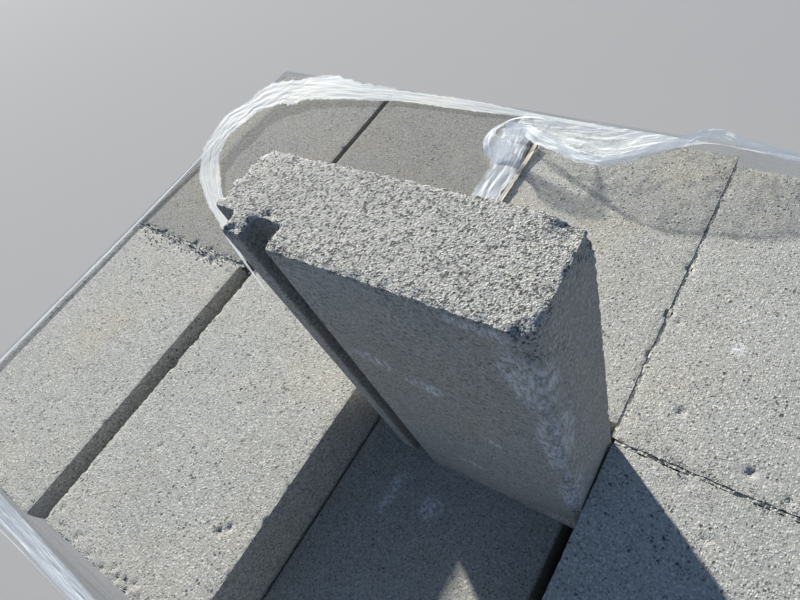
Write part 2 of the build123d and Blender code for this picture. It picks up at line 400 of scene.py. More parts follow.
def scuff_group():
    """A pale scrape: a ragged patch round a centre, stretched to a size."""
    size = (0.03, 0.03, 0.03)
    inputs = {"Vector": (0, 0, 0), "Centre": (0, 0, 0), "Size": size, "Stretch": (1, 1, 1)}
    w, given, out = shader_group("Scuff", inputs, {"Mask": 0.0})
    share = w.vector("DIVIDE", w.vector("SUBTRACT", given["Vector"], given["Centre"]), given["Size"])
    away = w.node("ShaderNodeVectorMath", {0: share}, operation="LENGTH").outputs["Value"]
    drawn = w.vector("MULTIPLY", given["Vector"], given["Stretch"])
    ragged = w.math("MULTIPLY_ADD", w.noise(drawn, 70.0, 3.0, 0.7), -1.6, 1.0)
    patch = w.ramp(w.math("ADD", away, ragged), 1.20, 0.60)
    broken = w.ramp(w.noise(drawn, 260.0, 3.0, 0.65), 0.40, 0.62)
    w.feed(out, {"Mask": w.times(patch, broken)})
    return w.tree


def sawn_grain_group():
    """Sawn softwood with its grain along one axis: bands, fibres and end rings."""
    brown = (0.4, 0.3, 0.2, 1)
    inputs = {"Vector": (0, 0, 0), "Stretch": (1.0, 0.05, 1.0), "Wood": brown, "Weathered": brown}
    w, given, out = shader_group("Sawn Grain", inputs, {"Color": brown, "Height": 0.0})
    along = w.vector("MULTIPLY", given["Vector"], given["Stretch"])
    bands = w.noise(along, 26.0, 3.0, 0.6)
    rings = w.math("SINE", w.times(bands, 46.0))
    fibres = w.noise(along, 420.0, 3.0, 0.6)
    age = w.noise(given["Vector"], 4.0, 3.0)
    tone = w.mix(w.ramp(age, 0.35, 0.65), given["Wood"], given["Weathered"])
    tone = w.mix(w.ramp(rings, -0.2, 1.0, 0.0, 0.35), tone, DARK_RING)
    tone = w.mix(w.ramp(fibres, 0.45, 0.7, 0.0, 0.35), tone, PALE_FIBRE)
    height = w.math("MULTIPLY_ADD", rings, 0.12 * MM, w.times(fibres, 0.5 * MM))
    w.feed(out, {"Color": tone, "Height": height})
    return w.tree


def film_streak_group():
    """How much of the film shows: fine wrinkles that run along its length, a few layers' edges, and haze."""
    inputs = {
        "Vector": (0, 0, 0), "Side": 1.0, "Layers": 0.0,
        "Long": 5.0, "Fine": 60.0, "Slope": 0.03, "Least": 0.1, "Most": 0.6,
    }
    w, given, out = shader_group("Film Streaks", inputs, {"Alpha": 0.2, "Streak": 0.0})
    parts = w.node("ShaderNodeSeparateXYZ", {0: given["Vector"]}).outputs
    rise = w.math("MULTIPLY_ADD", parts[0], given["Slope"], parts[1])
    along = w.times(parts[0], given["Long"])
    lines = w.node("ShaderNodeCombineXYZ", {0: along, 1: w.times(rise, given["Fine"])})
    wrinkle = w.noise(lines.outputs[0], 1.0, 4.0, 0.6)
    haze = w.noise(given["Vector"], 3.0, 2.0)
    sharp = w.ramp(wrinkle, 0.44, 0.68)
    soft = w.ramp(haze, 0.3, 0.8)
    streak = w.math("MULTIPLY_ADD", soft, 0.25, w.times(sharp, 0.75), clamp=True)
    spread = w.math("SUBTRACT", given["Most"], given["Least"])
    alpha = w.math("MULTIPLY_ADD", streak, spread, given["Least"])
    frayed = w.math("SUBTRACT", given["Side"], w.ramp(wrinkle, 0.35, 0.65, 0.0, 0.14))
    alpha = w.times(alpha, w.ramp(frayed, -0.02, 0.06, 0.15, 1.0))
    alpha = w.math("ADD", alpha, w.times(given["Layers"], w.rest(alpha)), clamp=True)
    w.feed(out, {"Alpha": alpha, "Streak": streak})
    return w.tree


def new_material(name):
    """A material with an empty tree that holds its surface, and its wiring."""
    material = bpy.data.materials.new(name)
    material.use_nodes = True
    material.node_tree.nodes.clear()
    w = Wiring(material.node_tree)
    surface = w.node("ShaderNodeBsdfPrincipled")
    w.node("ShaderNodeOutputMaterial", {"Surface": surface.outputs[0]})
    return material, w, surface


def place_of(w):
    """The place on the load, which the Object coordinates give because every piece sits at the origin."""
    return w.node("ShaderNodeTexCoord").outputs["Object"]


def raise_bump(w, surface, height):
    """Raises the surface by a height in metres."""
    bump = w.node("ShaderNodeBump", {"Strength": 1.0, "Distance": 1.0, "Height": height})
    w.feed(surface.inputs, {"Normal": bump.outputs[0]})


def concrete_material(name, groups, settings, shares, scuffs=(), pores=1.0, stretch=(1, 1, 1)):
    """Pressed concrete. shares takes the wiring and gives how torn and how dark the concrete is at a point,
    scuffs are the centres and sizes of its scrapes and pores is the share of its pores that are open."""
    _, w, surface = new_material(name)
    place = place_of(w)
    tones = {"Vector": place, "Face": settings.face, "Pale": settings.pale, "Pit": settings.pit}
    face = w.group(groups["face"], {**tones, "Open": pores})
    end = w.group(groups["end"], tones)
    torn, dark = shares(w)
    tone = w.mix(torn, face["Color"], end["Color"])
    for centre, size in scuffs:
        where = {"Vector": place, "Centre": centre, "Size": size, "Stretch": stretch}
        scuff = w.group(groups["scuff"], where)
        tone = w.mix(w.times(scuff["Mask"], 0.9), tone, settings.scrape)
    # Darker by the given share: a random tone of each block on the full layers, and on the worn blocks
    # painted shade in the grooves and painted shadow on some blocks
    tone = w.mix(dark, tone, settings.pit)
    face_height = w.times(face["Height"], w.rest(torn))
    raise_bump(w, surface, w.math("MULTIPLY_ADD", end["Height"], torn, face_height))
    w.feed(surface.inputs, {"Base Color": tone, "Roughness": 0.92, "Specular IOR Level": 0.3})


def lying_block_shares(w):
    """The ends of a lying block face along Y, and the blocks of a column and a layer share a tone."""
    coordinates = w.node("ShaderNodeTexCoord").outputs
    normal = w.node("ShaderNodeSeparateXYZ", {0: coordinates["Normal"]})
    torn = w.ramp(w.math("ABSOLUTE", normal.outputs[1]), 0.75, 0.9)
    pitch = (block_width + COLUMN_GAP, 10.0, block_thickness)
    counted = w.vector("DIVIDE", w.vector("SUBTRACT", coordinates["Object"], (0, 0, deck_top)), pitch)
    chance = w.node("ShaderNodeTexWhiteNoise", {0: w.vector("FLOOR", counted)}).outputs["Value"]
    return torn, w.times(chance, 0.28)


def painted_shares(w):
    """How torn and how dark a worn block's mesh says it is. The darkness holds painted shade in the grooves
    and each block's given darkness, which is painted shadow on some of them.
    """
    torn = w.node("ShaderNodeAttribute", attribute_name="torn").outputs["Fac"]
    return torn, w.node("ShaderNodeAttribute", attribute_name="dark").outputs["Fac"]


def timber_material(name, group, settings, stretch):
    """Sawn timber whose grain is stretched along one axis."""
    _, w, surface = new_material(name)
    tones = {"Wood": settings.wood, "Weathered": settings.weathered}
    grain = w.group(group, {"Vector": place_of(w), "Stretch": stretch, **tones})
    raise_bump(w, surface, grain["Height"])
    w.feed(surface.inputs, {"Base Color": grain["Color"], "Roughness": 0.8})


def film_material(
    name, group, size, streak, tones,
    frayed=1.0, layered=0.0, painted_glow=0.0, relief=0.12, cast=1.0, shine=0.25,
):
    """Film whose UV map runs from 0 to 1, over a piece of that size. streak is the wrinkles' count per metre
    along and across, their slope, and the least and most that shows of the film. frayed says how soon it is
    whole beyond its edge, layered how much denser it is at its top, painted_glow how strongly it glows with
    painted light that stands in for the light coming through its folds, relief how high they stand in
    millimetres, cast how much of it shades what is behind, and shine how strongly it mirrors."""
    material, w, surface = new_material(name)
    uv = w.node("ShaderNodeTexCoord").outputs["UV"]
    across = w.node("ShaderNodeSeparateXYZ", {0: uv}).outputs[1]
    inputs = dict(zip(("Long", "Fine", "Slope", "Least", "Most"), streak))
    inputs["Vector"] = w.vector("MULTIPLY", uv, (size[0], size[1], 1.0))
    if frayed:
        inputs["Side"] = w.times(w.math("MINIMUM", across, w.rest(across)), frayed)
    if layered:
        inputs["Layers"] = w.ramp(across, 0.70, 0.98, 0.0, layered)
    film = w.group(group, inputs)
    tone = w.mix(film["Streak"], tones[0], tones[1])
    shadow = w.node("ShaderNodeLightPath").outputs["Is Shadow Ray"]
    shown = w.times(film["Alpha"], w.math("MULTIPLY_ADD", shadow, cast - 1.0, 1.0))
    raise_bump(w, surface, w.times(film["Streak"], relief * MM))
    # The emission is painted glow: the film shines with its own tone
    w.feed(surface.inputs, {
        "Base Color": tone, "Alpha": shown, "Roughness": 0.55, "Specular IOR Level": shine, "IOR": 1.42,
        "Emission Color": tone, "Emission Strength": painted_glow,
    })
    material.cycles.emission_sampling = "NONE"


def keep(name, bm, material, smooth=True):
    """Makes the bmesh a piece that rides on the load."""
    mesh = bpy.data.meshes.new(name)
    bm.to_mesh(mesh)
    bm.free()
    mesh.polygons.foreach_set("use_smooth", [smooth] * len(mesh.polygons))
    mesh.materials.append(material)
    piece = bpy.data.objects.new(name, mesh)
    bpy.context.scene.collection.objects.link(piece)
    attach(piece, BODY)
    return piece


def dress(node, material):
    """Gives a CAD node its material."""
    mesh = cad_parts[node].data
    mesh.materials.clear()
    mesh.materials.append(material)


def evenly_remeshed(bm, step):
    """The same closed shape in even squares of that step."""
    mesh = bpy.data.meshes.new("blank")
    bm.to_mesh(mesh)
    bm.free()
    blank = bpy.data.objects.new("blank", mesh)
    bpy.context.scene.collection.objects.link(blank)
    remesh = blank.modifiers.new("Remesh", "REMESH")
    remesh.mode = "VOXEL"
    remesh.voxel_size = step
    even = bmesh.new()
    even.from_object(blank, bpy.context.evaluated_depsgraph_get())
    bpy.data.objects.remove(blank)
    bpy.data.meshes.remove(mesh)
    return even


def clamp(value):
    return min(1.0, max(0.0, value))


def to_sides(place, low, high):
    """How far a place is from the nearer side of a box along each axis, and which side that is."""
    gaps = [(place[i] - low[i], high[i] - place[i]) for i in range(3)]
    return [min(gap) for gap in gaps], [-1 if gap[0] < gap[1] else 1 for gap in gaps]


def wear_arris(vert, place, near, side, settings):
    """Wears a vertex down where it is near two sides, and gives how torn it is there."""
    share = [max(0.0, 1 - gap / settings.wear_reach) for gap in near]
    arris = sorted(share)[1]
    if arris == 0:
        return 0.0
    chip = max(0.0, noise.noise(place * 70 + Vector((7, 3, 1))) - 0.36)
    crumb = max(0.0, noise.noise(place * 240))
    wear = arris * arris * (0.12 + 3.0 * chip + 0.8 * crumb)
    for i in range(3):
        vert.co[i] -= side[i] * share[i] * wear * settings.wear_depth
    return clamp(6.0 * chip * arris + 0.8 * wear)


def roughen_end(vert, place, normal, axis, outward, depth):
    """Hollows a torn end between its grains, and breaks its rim."""
    hollow = noise.noise(place * 130) + 0.6 * noise.noise(place * 230)
    vert.co[axis] -= outward * depth * max(0.0, 0.35 + hollow)
    if abs(normal[axis]) < RIM_SLOPE:
        vert.co[axis] -= outward * RIM_DEPTH * max(0.0, 0.1 + noise.noise(place * 140))


def bite(vert, place, normal, bites):
    """Takes the bites out of the block at a vertex, and gives how torn it is there."""
    torn = 0.0
    for centre, radius, depth in bites:
        away = (place - centre).length / radius + 0.6 * noise.noise(place * 130)
        if away < 1:
            ragged = max(0.4, 0.7 + 1.1 * noise.noise(place * 190))
            vert.co -= normal * depth * (1 - away * away) * ragged
            torn = max(torn, clamp(1.6 - 1.6 * away))
    return torn


def lose_corners(vert, place, middle, corners):
    """Takes the lost corners off towards the block's middle, and gives how torn the vertex is there."""
    torn = 0.0
    for corner, radius, depth in corners:
        away = (place - corner).length / radius
        if away < 1:
            inward = (middle - corner).normalized()
            vert.co += inward * depth * (1 - away) * (1 + 0.5 * noise.noise(place * 110))
            torn = 1.0
    return torn


def crumbled_block(
    name, node, material, settings, length_axis, step,
    turn=0.0, roughened=0.0, dark=0.0, bites=(), lost_corners=(),
):
    """A CAD block with crumbled arrises, torn ends, bites and lost corners, each a centre, a radius and a
    depth. Its own frame is square to its faces, so it is turned back before the work and again after it."""
    bm = bmesh.new()
    bm.from_mesh(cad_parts[node].data)
    bmesh.ops.remove_doubles(bm, verts=bm.verts, dist=WELD)
    box_low, box_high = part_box(node)
    middle = (box_low + box_high) / 2
    bmesh.ops.rotate(bm, verts=bm.verts, cent=middle, matrix=Matrix.Rotation(-turn, 3, "Z"))
    low = Vector(min(v.co[i] for v in bm.verts) for i in range(3))
    high = Vector(max(v.co[i] for v in bm.verts) for i in range(3))
    bm = evenly_remeshed(bm, step)
    torn = bm.verts.layers.float.new("torn")
    shade_and_tone = bm.verts.layers.float.new("dark")
    for vert in bm.verts:
        near, side = to_sides(vert.co, low, high)
        for i in range(3):
            if near[i] < SNAP_SHARE * step:
                vert.co[i] += side[i] * near[i]
                near[i] = 0.0
        place, normal = vert.co.copy(), vert.normal.copy()
        end = near[length_axis] == 0
        grooved = min(near[i] for i in range(3) if i != length_axis) > GROOVE_START
        # A groove gets painted shade on top of the darkness given to the block
        vert[shade_and_tone] = 0.0 if end else dark + GROOVE_SHADE * grooved
        inward = max(0.0, 1 - near[length_axis] / ROUGH_REACH)
        tears = [1.0 if end else clamp(inward * (0.30 + 2.2 * noise.noise(place * 60)))]
        tears.append(wear_arris(vert, place, near, side, settings))
        if end and roughened:
            roughen_end(vert, place, normal, length_axis, side[length_axis], roughened)
        tears.append(bite(vert, place, normal, bites))
        tears.append(lose_corners(vert, place, middle, lost_corners))
        vert[torn] = max(tears)
    bmesh.ops.rotate(bm, verts=bm.verts, cent=middle, matrix=Matrix.Rotation(turn, 3, "Z"))
    bm.normal_update()
    for edge in bm.edges:
        edge.smooth = edge.calc_face_angle(0.0) < SHARP
    piece = keep(name, bm, bpy.data.materials[material])
    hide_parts(node)


def through(stations, share):
    """The station at that share of the way along a smooth curve through all of them."""
    last = len(stations) - 1
    place = min(max(share, 0.0) * last, last - 0.000001)
    i = int(place)
    t = place - i
    near = [stations[min(max(k, 0), last)] for k in (i - 1, i, i + 1, i + 2)]
    blends = (
        -0.5 * t + t * t - 0.5 * t ** 3,
        1 - 2.5 * t * t + 1.5 * t ** 3,
        0.5 * t + 2 * t * t - 1.5 * t ** 3,
        -0.5 * t * t + 0.5 * t ** 3,
    )
    return [sum(b * values[k] for b, values in zip(blends, near)) for k in range(len(near[0]))]


def grid(along, across):
    """A flat grid with a UV map, and each of its vertices with its share of the way along and across."""
    bm = bmesh.new()
    bm.loops.layers.uv.new("UVMap")
    bmesh.ops.create_grid(bm, x_segments=along, y_segments=across, size=0.5, calc_uvs=True)
    far = max(v.co.x for v in bm.verts)
    return bm, [(v, (v.co.x / far + 1) / 2, (v.co.y / far + 1) / 2) for v in bm.verts]


def ribbon(stations, along, across, pleats, pleat_height, ragged=0.0, seed=0.0):
    """A gathered strip of film. A station is x, y, height over the load, width, lean and pleat share: a lean
    of 0 lies flat, and at 90 degrees the left edge stands up. Lengths in a station are in millimetres. along
    and across are the strip's cells, and ragged is how much its edges fray."""
    length = sum((Vector(a[:2]) - Vector(b[:2])).length for a, b in zip(stations, stations[1:]))
    bm, shares = grid(along, across)
    for vert, s, t in shares:
        x, y, rise, width, lean, pleat = through(stations, s)
        ahead, behind = through(stations, s + 0.01), through(stations, s - 0.01)
        forward = (Vector(ahead[:3]) - Vector(behind[:3])).normalized()
        left = UP.cross(forward).normalized()
        face = forward.cross(left)
        angle = math.radians(lean)
        leaning = left * math.cos(angle) + face * math.sin(angle)
        stands = face * math.cos(angle) - left * math.sin(angle)
        edge = round(t) * 5
        slow = noise.noise(Vector((s * length / FRAY_RUN, edge, seed)))
        fine = noise.noise(Vector((s * length / FINE_FRAY_RUN, edge, seed)))
        fray = 1 + ragged * (slow + 0.5 * fine)
        run = s * length / PLEAT_RUN
        wave = 0.0
        for k in (1, 2.3):
            waver = 0.6 * noise.noise(Vector((run, k, seed)))
            wave += noise.noise(Vector((run * k, (t - 0.5) * pleats * k + waver, seed + k))) / k
        offset = leaning * (t - 0.5) * width * fray + stands * wave * pleat_height * pleat
        place = Vector((x, y, rise)) + offset
        vert.co = Vector((place.x * MM, place.y * MM, load_top + place.z * MM))
    return bm


def raised(x, y, low, high):
    """Where a point at one height over the load goes to look the same from the camera at another height."""
    side = Vector(CAMERA_PLACE[:2]) / MM
    above = (CAMERA_PLACE[2] - load_top) / MM
    return side + (Vector((x, y)) - side) * (above - high) / (above - low)


class BLOCKPALLET_OT_materials(bpy.types.Operator):
    """Makes the materials of concrete, timber, film and nails"""

    bl_idname = "block_pallet.materials"
    bl_label = "Materials"

    def execute(self, context):
        scene = context.scene
        concrete, timber, film = scene.block_concrete, scene.block_timber, scene.block_film
        groups = {"face": pressed_face_group(), "end": open_end_group(), "scuff": scuff_group()}
        floor = load_top - block_thickness
        # The centre and size of each scrape
        floor_scuffs = [
            ((0.080, -0.177, floor), (0.011, 0.040, 0.03)), ((0.138, -0.167, floor), (0.018, 0.020, 0.03)),
        ]
        concrete_material(
            "Pressed concrete", groups, concrete, lying_block_shares, scuffs=floor_scuffs, pores=0.35
        )
        top_scuffs = [
            ((0.4117, 0.1427, load_top), (0.010, 0.013, 0.03)),
            ((0.1600, 0.2100, load_top), (0.030, 0.030, 0.03)),
        ]
        concrete_material("Worn concrete", groups, concrete, painted_shares, scuffs=top_scuffs)
        face_scuffs = [
            ((0.148, -0.111, 0.985), (0.028, 0.02, 0.016)), ((0.198, -0.110, 0.970), (0.028, 0.02, 0.015)),
            ((0.312, -0.107, 1.060), (0.022, 0.03, 0.055)), ((0.318, -0.107, 0.960), (0.018, 0.03, 0.090)),
            ((0.320, -0.107, 0.820), (0.014, 0.03, 0.080)), ((0.300, -0.107, 0.700), (0.040, 0.03, 0.022)),
            ((0.282, -0.110, 1.116), (0.036, 0.02, 0.009)), ((0.190, -0.110, 0.770), (0.024, 0.02, 0.010)),
            ((0.250, -0.110, 0.890), (0.014, 0.02, 0.010)),
        ]
        concrete_material(
            "Scraped concrete", groups, concrete, painted_shares,
            scuffs=face_scuffs, pores=0.25, stretch=(1, 1, 0.4),
        )
        grain = sawn_grain_group()
        timber_material("Board timber", grain, timber, (1.0, 0.05, 1.0))
        timber_material("Stringer timber", grain, timber, (0.05, 1.0, 1.0))
        streaks = film_streak_group()
        around = 4 * (film_half_x + film_half_y)
        tall = film_high.z - film_low.z
        clear, hazy = (film.clear, film.gathered), (film.haze, film.gathered)
        creamy, twisted = (film.haze, film.cream), (film.strand, film.cream)
        # Each kind of film: size, streak, tones, and what differs in its look
        films = {
            "wall": ((around, tall), (5.0, 110.0, 0.03, 0.05, 0.34), clear, {"frayed": 0.0, "layered": 0.35}),
            "fold": (
                (1.2, 0.02), (5.0, 420.0, 0.004, 0.50, 1.0), clear,
                {"frayed": 1.8, "painted_glow": 0.04, "relief": 0.3},
            ),
            "band": (
                (1.5, 0.04), (8.0, 340.0, 0.01, 0.62, 1.0), creamy,
                {"frayed": 2.0, "painted_glow": 0.18, "relief": 0.12, "cast": 0.40, "shine": 0.07},
            ),
            "hem": (
                (0.7, 0.03), (10.0, 300.0, 0.02, 0.60, 1.0), hazy,
                {"frayed": 1.6, "painted_glow": 0.34, "relief": 0.45, "cast": 0.7},
            ),
            "veil": (
                (0.8, 0.1), (16.0, 150.0, 0.3, 0.28, 1.0), hazy,
                {"frayed": 0.0, "painted_glow": 0.18, "relief": 0.5, "cast": 0.6},
            ),
            "tail": (
                (0.4, 0.06), (9.0, 220.0, 0.04, 0.50, 0.97), hazy,
                {"frayed": 1.0, "painted_glow": 0.20, "relief": 0.3, "cast": 0.7},
            ),
            "strand": (
                (0.3, 0.01), (5.0, 300.0, 0.0, 0.80, 1.0), twisted, {"frayed": 3.0, "relief": 0.2},
            ),
        }
        for kind, (size, streak, tones, look) in films.items():
            film_material(f"Film {kind}", streaks, size, streak, tones, **look)
        _, w, surface = new_material("Nail steel")
        rusty = w.ramp(w.noise(place_of(w), 300.0), 0.4, 0.65)
        steel = w.mix(rusty, BARE_STEEL, RUST)
        w.feed(surface.inputs, {"Base Color": steel, "Metallic": 0.8, "Roughness": 0.5})
        return {"FINISHED"}


class BLOCKPALLET_OT_timber(bpy.types.Operator):
    """Finishes the pallet's boards and stringers and adds the heads of their nails"""

    bl_idname = "block_pallet.timber"
    bl_label = "Pallet"

    def execute(self, context):
        radius = context.scene.block_timber.nail_radius
        stringers = [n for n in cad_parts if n.startswith("stringer")]
        boards = [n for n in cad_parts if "board" in n]
        for node in stringers:
            dress(node, bpy.data.materials["Stringer timber"])
        for node in boards:
            dress(node, bpy.data.materials["Board timber"])
        bm = bmesh.new()
        for node in boards:
            low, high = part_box(node)
            outward = 1 if node.startswith("deck") else -1
            face = high.z if outward > 0 else low.z
            proud = NAIL_PROUD_ABOVE if outward > 0 else NAIL_PROUD_BELOW
            flip = Matrix.Rotation(0 if outward > 0 else math.pi, 4, "X")
            spread = (high.x - low.x) / 2 - NAIL_INSET
            for stringer in stringers:
                across = sum(corner.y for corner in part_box(stringer)) / 2
                for step in (-1, 0, 1):
                    along = (low.x + high.x) / 2 + step * spread
                    centre = Vector((along, across + step * NAIL_STAGGER, face))
                    sunk = Matrix.Translation(centre + outward * UP * (proud - NAIL_DEPTH / 2))
                    bmesh.ops.create_cone(
                        bm, cap_ends=True, segments=12, radius1=radius, radius2=radius * 0.75,
                        depth=NAIL_DEPTH, matrix=sunk @ flip,
                    )
        keep("nail_heads", bm, bpy.data.materials["Nail steel"], smooth=False)
        return {"FINISHED"}


class BLOCKPALLET_OT_full_layers(bpy.types.Operator):
    """Finishes the blocks of the full layers"""

    bl_idname = "block_pallet.full_layers"
    bl_label = "Full layers"

    def execute(self, context):
        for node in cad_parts:
            if node.startswith("block_layer"):
                dress(node, bpy.data.materials["Pressed concrete"])
        return {"FINISHED"}


class BLOCKPALLET_OT_top_layer(bpy.types.Operator):
    """Models the lying blocks of the top layer with crumbled arrises and pits"""

    bl_idname = "block_pallet.top_layer"
    bl_label = "Top layer"

    def execute(self, context):
        settings = context.scene.block_concrete
        # Places on the load's top in metres, radii and depths in millimetres
        bites = {
            "top_block_front_left": [
                (-0.361, -0.139, 5, 2), (-0.482, -0.188, 5, 1.5), (-0.436, -0.304, 4.5, 1.5),
                (-0.513, -0.021, 6, 2), (-0.601, 0.007, 6, 3), (-0.555, 0.008, 6, 3), (-0.518, 0.009, 7, 3),
                (-0.490, 0.004, 13, 3.5), (-0.455, 0.006, 12, 4), (-0.420, 0.002, 13, 3.5),
                (-0.386, 0.000, 10, 3), (-0.342, -0.011, 5, 2),
            ],
            "top_block_back_left": [
                (-0.590, 0.014, 7, 3), (-0.540, 0.013, 7, 3), (-0.490, 0.016, 6, 3), (-0.450, 0.013, 8, 4),
                (-0.410, 0.014, 7, 3), (-0.370, 0.013, 7, 3), (-0.330, 0.014, 6, 3),
            ],
            "top_block_front_middle": [
                (-0.046, -0.319, 7, 4), (-0.037, -0.309, 6, 3), (-0.225, -0.419, 6, 2),
                (-0.214, -0.411, 5, 1.5), (-0.143, -0.419, 6, 2.5), (-0.131, -0.424, 6, 2.5),
                (-0.118, -0.420, 5.5, 2), (-0.101, -0.415, 6, 2), (-0.109, -0.427, 6, 2.5),
                (-0.085, -0.424, 6, 2), (-0.160, -0.427, 6, 2), (-0.190, -0.425, 5, 1.5),
                (-0.146, -0.248, 5, 2), (-0.210, -0.276, 5, 1.5), (-0.125, -0.3165, 4.5, 1.5),
                (-0.279, -0.407, 6, 1.5),
            ],
            "top_block_back_right": [
                (0.4618, 0.0074, 7, 3), (0.3805, 0.0442, 6, 2.5), (0.340, 0.155, 5, 2), (0.502, -0.003, 6, 2),
            ],
            "top_block_front_right": [(0.444, -0.075, 6, 2), (0.410, -0.028, 8, 2)],
        }
        # How much darker each block is: painted shadow on the back left and back middle left blocks, and only
        # a little darker on the back middle right one
        shade_and_tone = {
            "top_block_back_left": 0.45, "top_block_back_middle_left": 0.50,
            "top_block_back_middle_right": 0.05,
        }
        for node in sorted(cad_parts):
            if node.startswith("top_block"):
                spots = [(Vector((x, y, load_top)), r * MM, d * MM) for x, y, r, d in bites.get(node, [])]
                name = node.replace("top_block", "worn_block")
                crumbled_block(
                    name, node, "Worn concrete", settings, 1, settings.step, roughened=0.6 * MM,
                    dark=shade_and_tone.get(node, 0.0), bites=spots,
                )
        return {"FINISHED"}


class BLOCKPALLET_OT_upright_block(bpy.types.Operator):
    """Models the block that stands on end, with its torn top, its worn long arris and its chipped corners"""

    bl_idname = "block_pallet.upright_block"
    bl_label = "Block on end"

    def execute(self, context):
        settings = context.scene.block_concrete
        low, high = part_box("upright_block")
        middle = (low + high) / 2
        right, front = middle.x + block_width / 2, middle.y - block_thickness / 2
        left, back = middle.x - block_width / 2, middle.y + block_thickness / 2
        spots = [(Vector((left, back, high.z)), 10 * MM, 3 * MM)]
        corners = [
            (Vector((right, back, high.z)), 30 * MM, 10 * MM),
            (Vector((right, front, high.z)), 14 * MM, 3 * MM),
            (Vector((left, back, high.z)), 16 * MM, 4 * MM),
        ]
        # Chips down the long arris, along the top's front edge and at the left end
        for i in range(16):
            spot = Vector((right - 3 * MM, front, low.z + (30 + 26 * i) * MM))
            radius, depth = 9 + 5 * noise.noise(spot * 40), 1.8 + 1.5 * noise.noise(spot * 90)
            spots.append((spot, radius * MM, depth * MM))
        for i in range(9):
            spot = Vector((left + (95 + 24 * i) * MM, front, high.z))
            radius, depth = 7 + 3 * noise.noise(spot * 60), 1.2 + noise.noise(spot * 80)
            spots.append((spot, radius * MM, depth * MM))
        for i in range(3):
            spots.append((Vector((left, front + (38 + 17 * i) * MM, high.z)), 8 * MM, 3.0 * MM))
        round_the_slot = (
            (0, 6, 9, 3.5), (2, 17, 8, 3.0), (-12, 24, 9, 3.5),
            (-25, 18, 7, 2.5), (-26, 8, 6, 2.0), (-34, 5, 7, 3.0),
        )
        for across, behind, radius, depth in round_the_slot:
            spot = Vector((left + SLOT_EDGE + across * MM, front + behind * MM, high.z))
            spots.append((spot, radius * MM, depth * MM))
        crumbled_block(
            "worn_block_on_end", "upright_block", "Scraped concrete", settings, 2, settings.fine_step,
            turn=UPRIGHT_TURN, roughened=0.45 * MM, dark=0.12, bites=spots, lost_corners=corners,
        )
        return {"FINISHED"}


class BLOCKPALLET_OT_crumbs(bpy.types.Operator):
    """Scatters crumbs of concrete along the closed joints of the top layer"""

    bl_idname = "block_pallet.crumbs"
    bl_label = "Crumbs"

    def execute(self, context):
        chance = random.Random(4)
        # Start and end of a joint, and the number and spread of its crumbs
        joints = [
            (Vector((-0.603, 0.010, 0)), Vector((-0.335, 0.010, 0)), 110, 9 * MM),
            (Vector((-0.580, 0.002, 0)), Vector((-0.350, 0.002, 0)), 110, 22 * MM),
            (Vector((-0.300, 0.005, 0)), Vector((-0.260, 0.019, 0)), 12, 6 * MM),
            (Vector((0.330, -0.018, 0)), Vector((0.600, -0.018, 0)), 30, 6 * MM),
        ]
        bm = bmesh.new()
        for start, stop, count, spread in joints:
            for _ in range(count):
                place = start.lerp(stop, chance.random())
                place += Vector((chance.gauss(0, 0.5), chance.gauss(0, 0.5), 0)) * spread
                radius = chance.uniform(0.5, 1.7) * MM
                place.z = load_top + 0.2 * radius
                shape = Matrix.Diagonal((chance.uniform(0.7, 1.4), chance.uniform(0.7, 1.4), 0.8, 1))
                turn = Matrix.Rotation(chance.uniform(0, math.pi), 4, "Z")
                bmesh.ops.create_icosphere(
                    bm, subdivisions=1, radius=radius, matrix=Matrix.Translation(place) @ turn @ shape
                )
        keep("joint_crumbs", bm, bpy.data.materials["Worn concrete"], smooth=False)

        # Start and end of a joint, its half width, and in millimetres the mean depth of its dust
        dusty = {
            "joint_dust_left": ((-0.619, 0.011), (-0.320, 0.011), 2.5 * MM, 1.4),
            "joint_dust_right": ((0.328, -0.018), (0.620, -0.018), 1.5 * MM, 1.7),
            "joint_dust_back": ((0.3245, -0.014), (0.3245, 0.431), 2.0 * MM, 1.9),
        }
        for name, (start, stop, half, mean) in dusty.items():
            start, stop = Vector((*start, 0)), Vector((*stop, 0))
            aside = UP.cross(stop - start).normalized()
            bm, shares = grid(260, 5)
            for vert, s, t in shares:
                place = start.lerp(stop, s) + aside * (2 * t - 1) * half
                depth = mean + 2.4 * noise.noise(place * 60) + 1.2 * noise.noise(place * 300)
                vert.co = Vector((place.x, place.y, load_top - max(0.3, depth) * MM))
            keep(name, bm, bpy.data.materials["Worn concrete"], smooth=False)
        return {"FINISHED"}


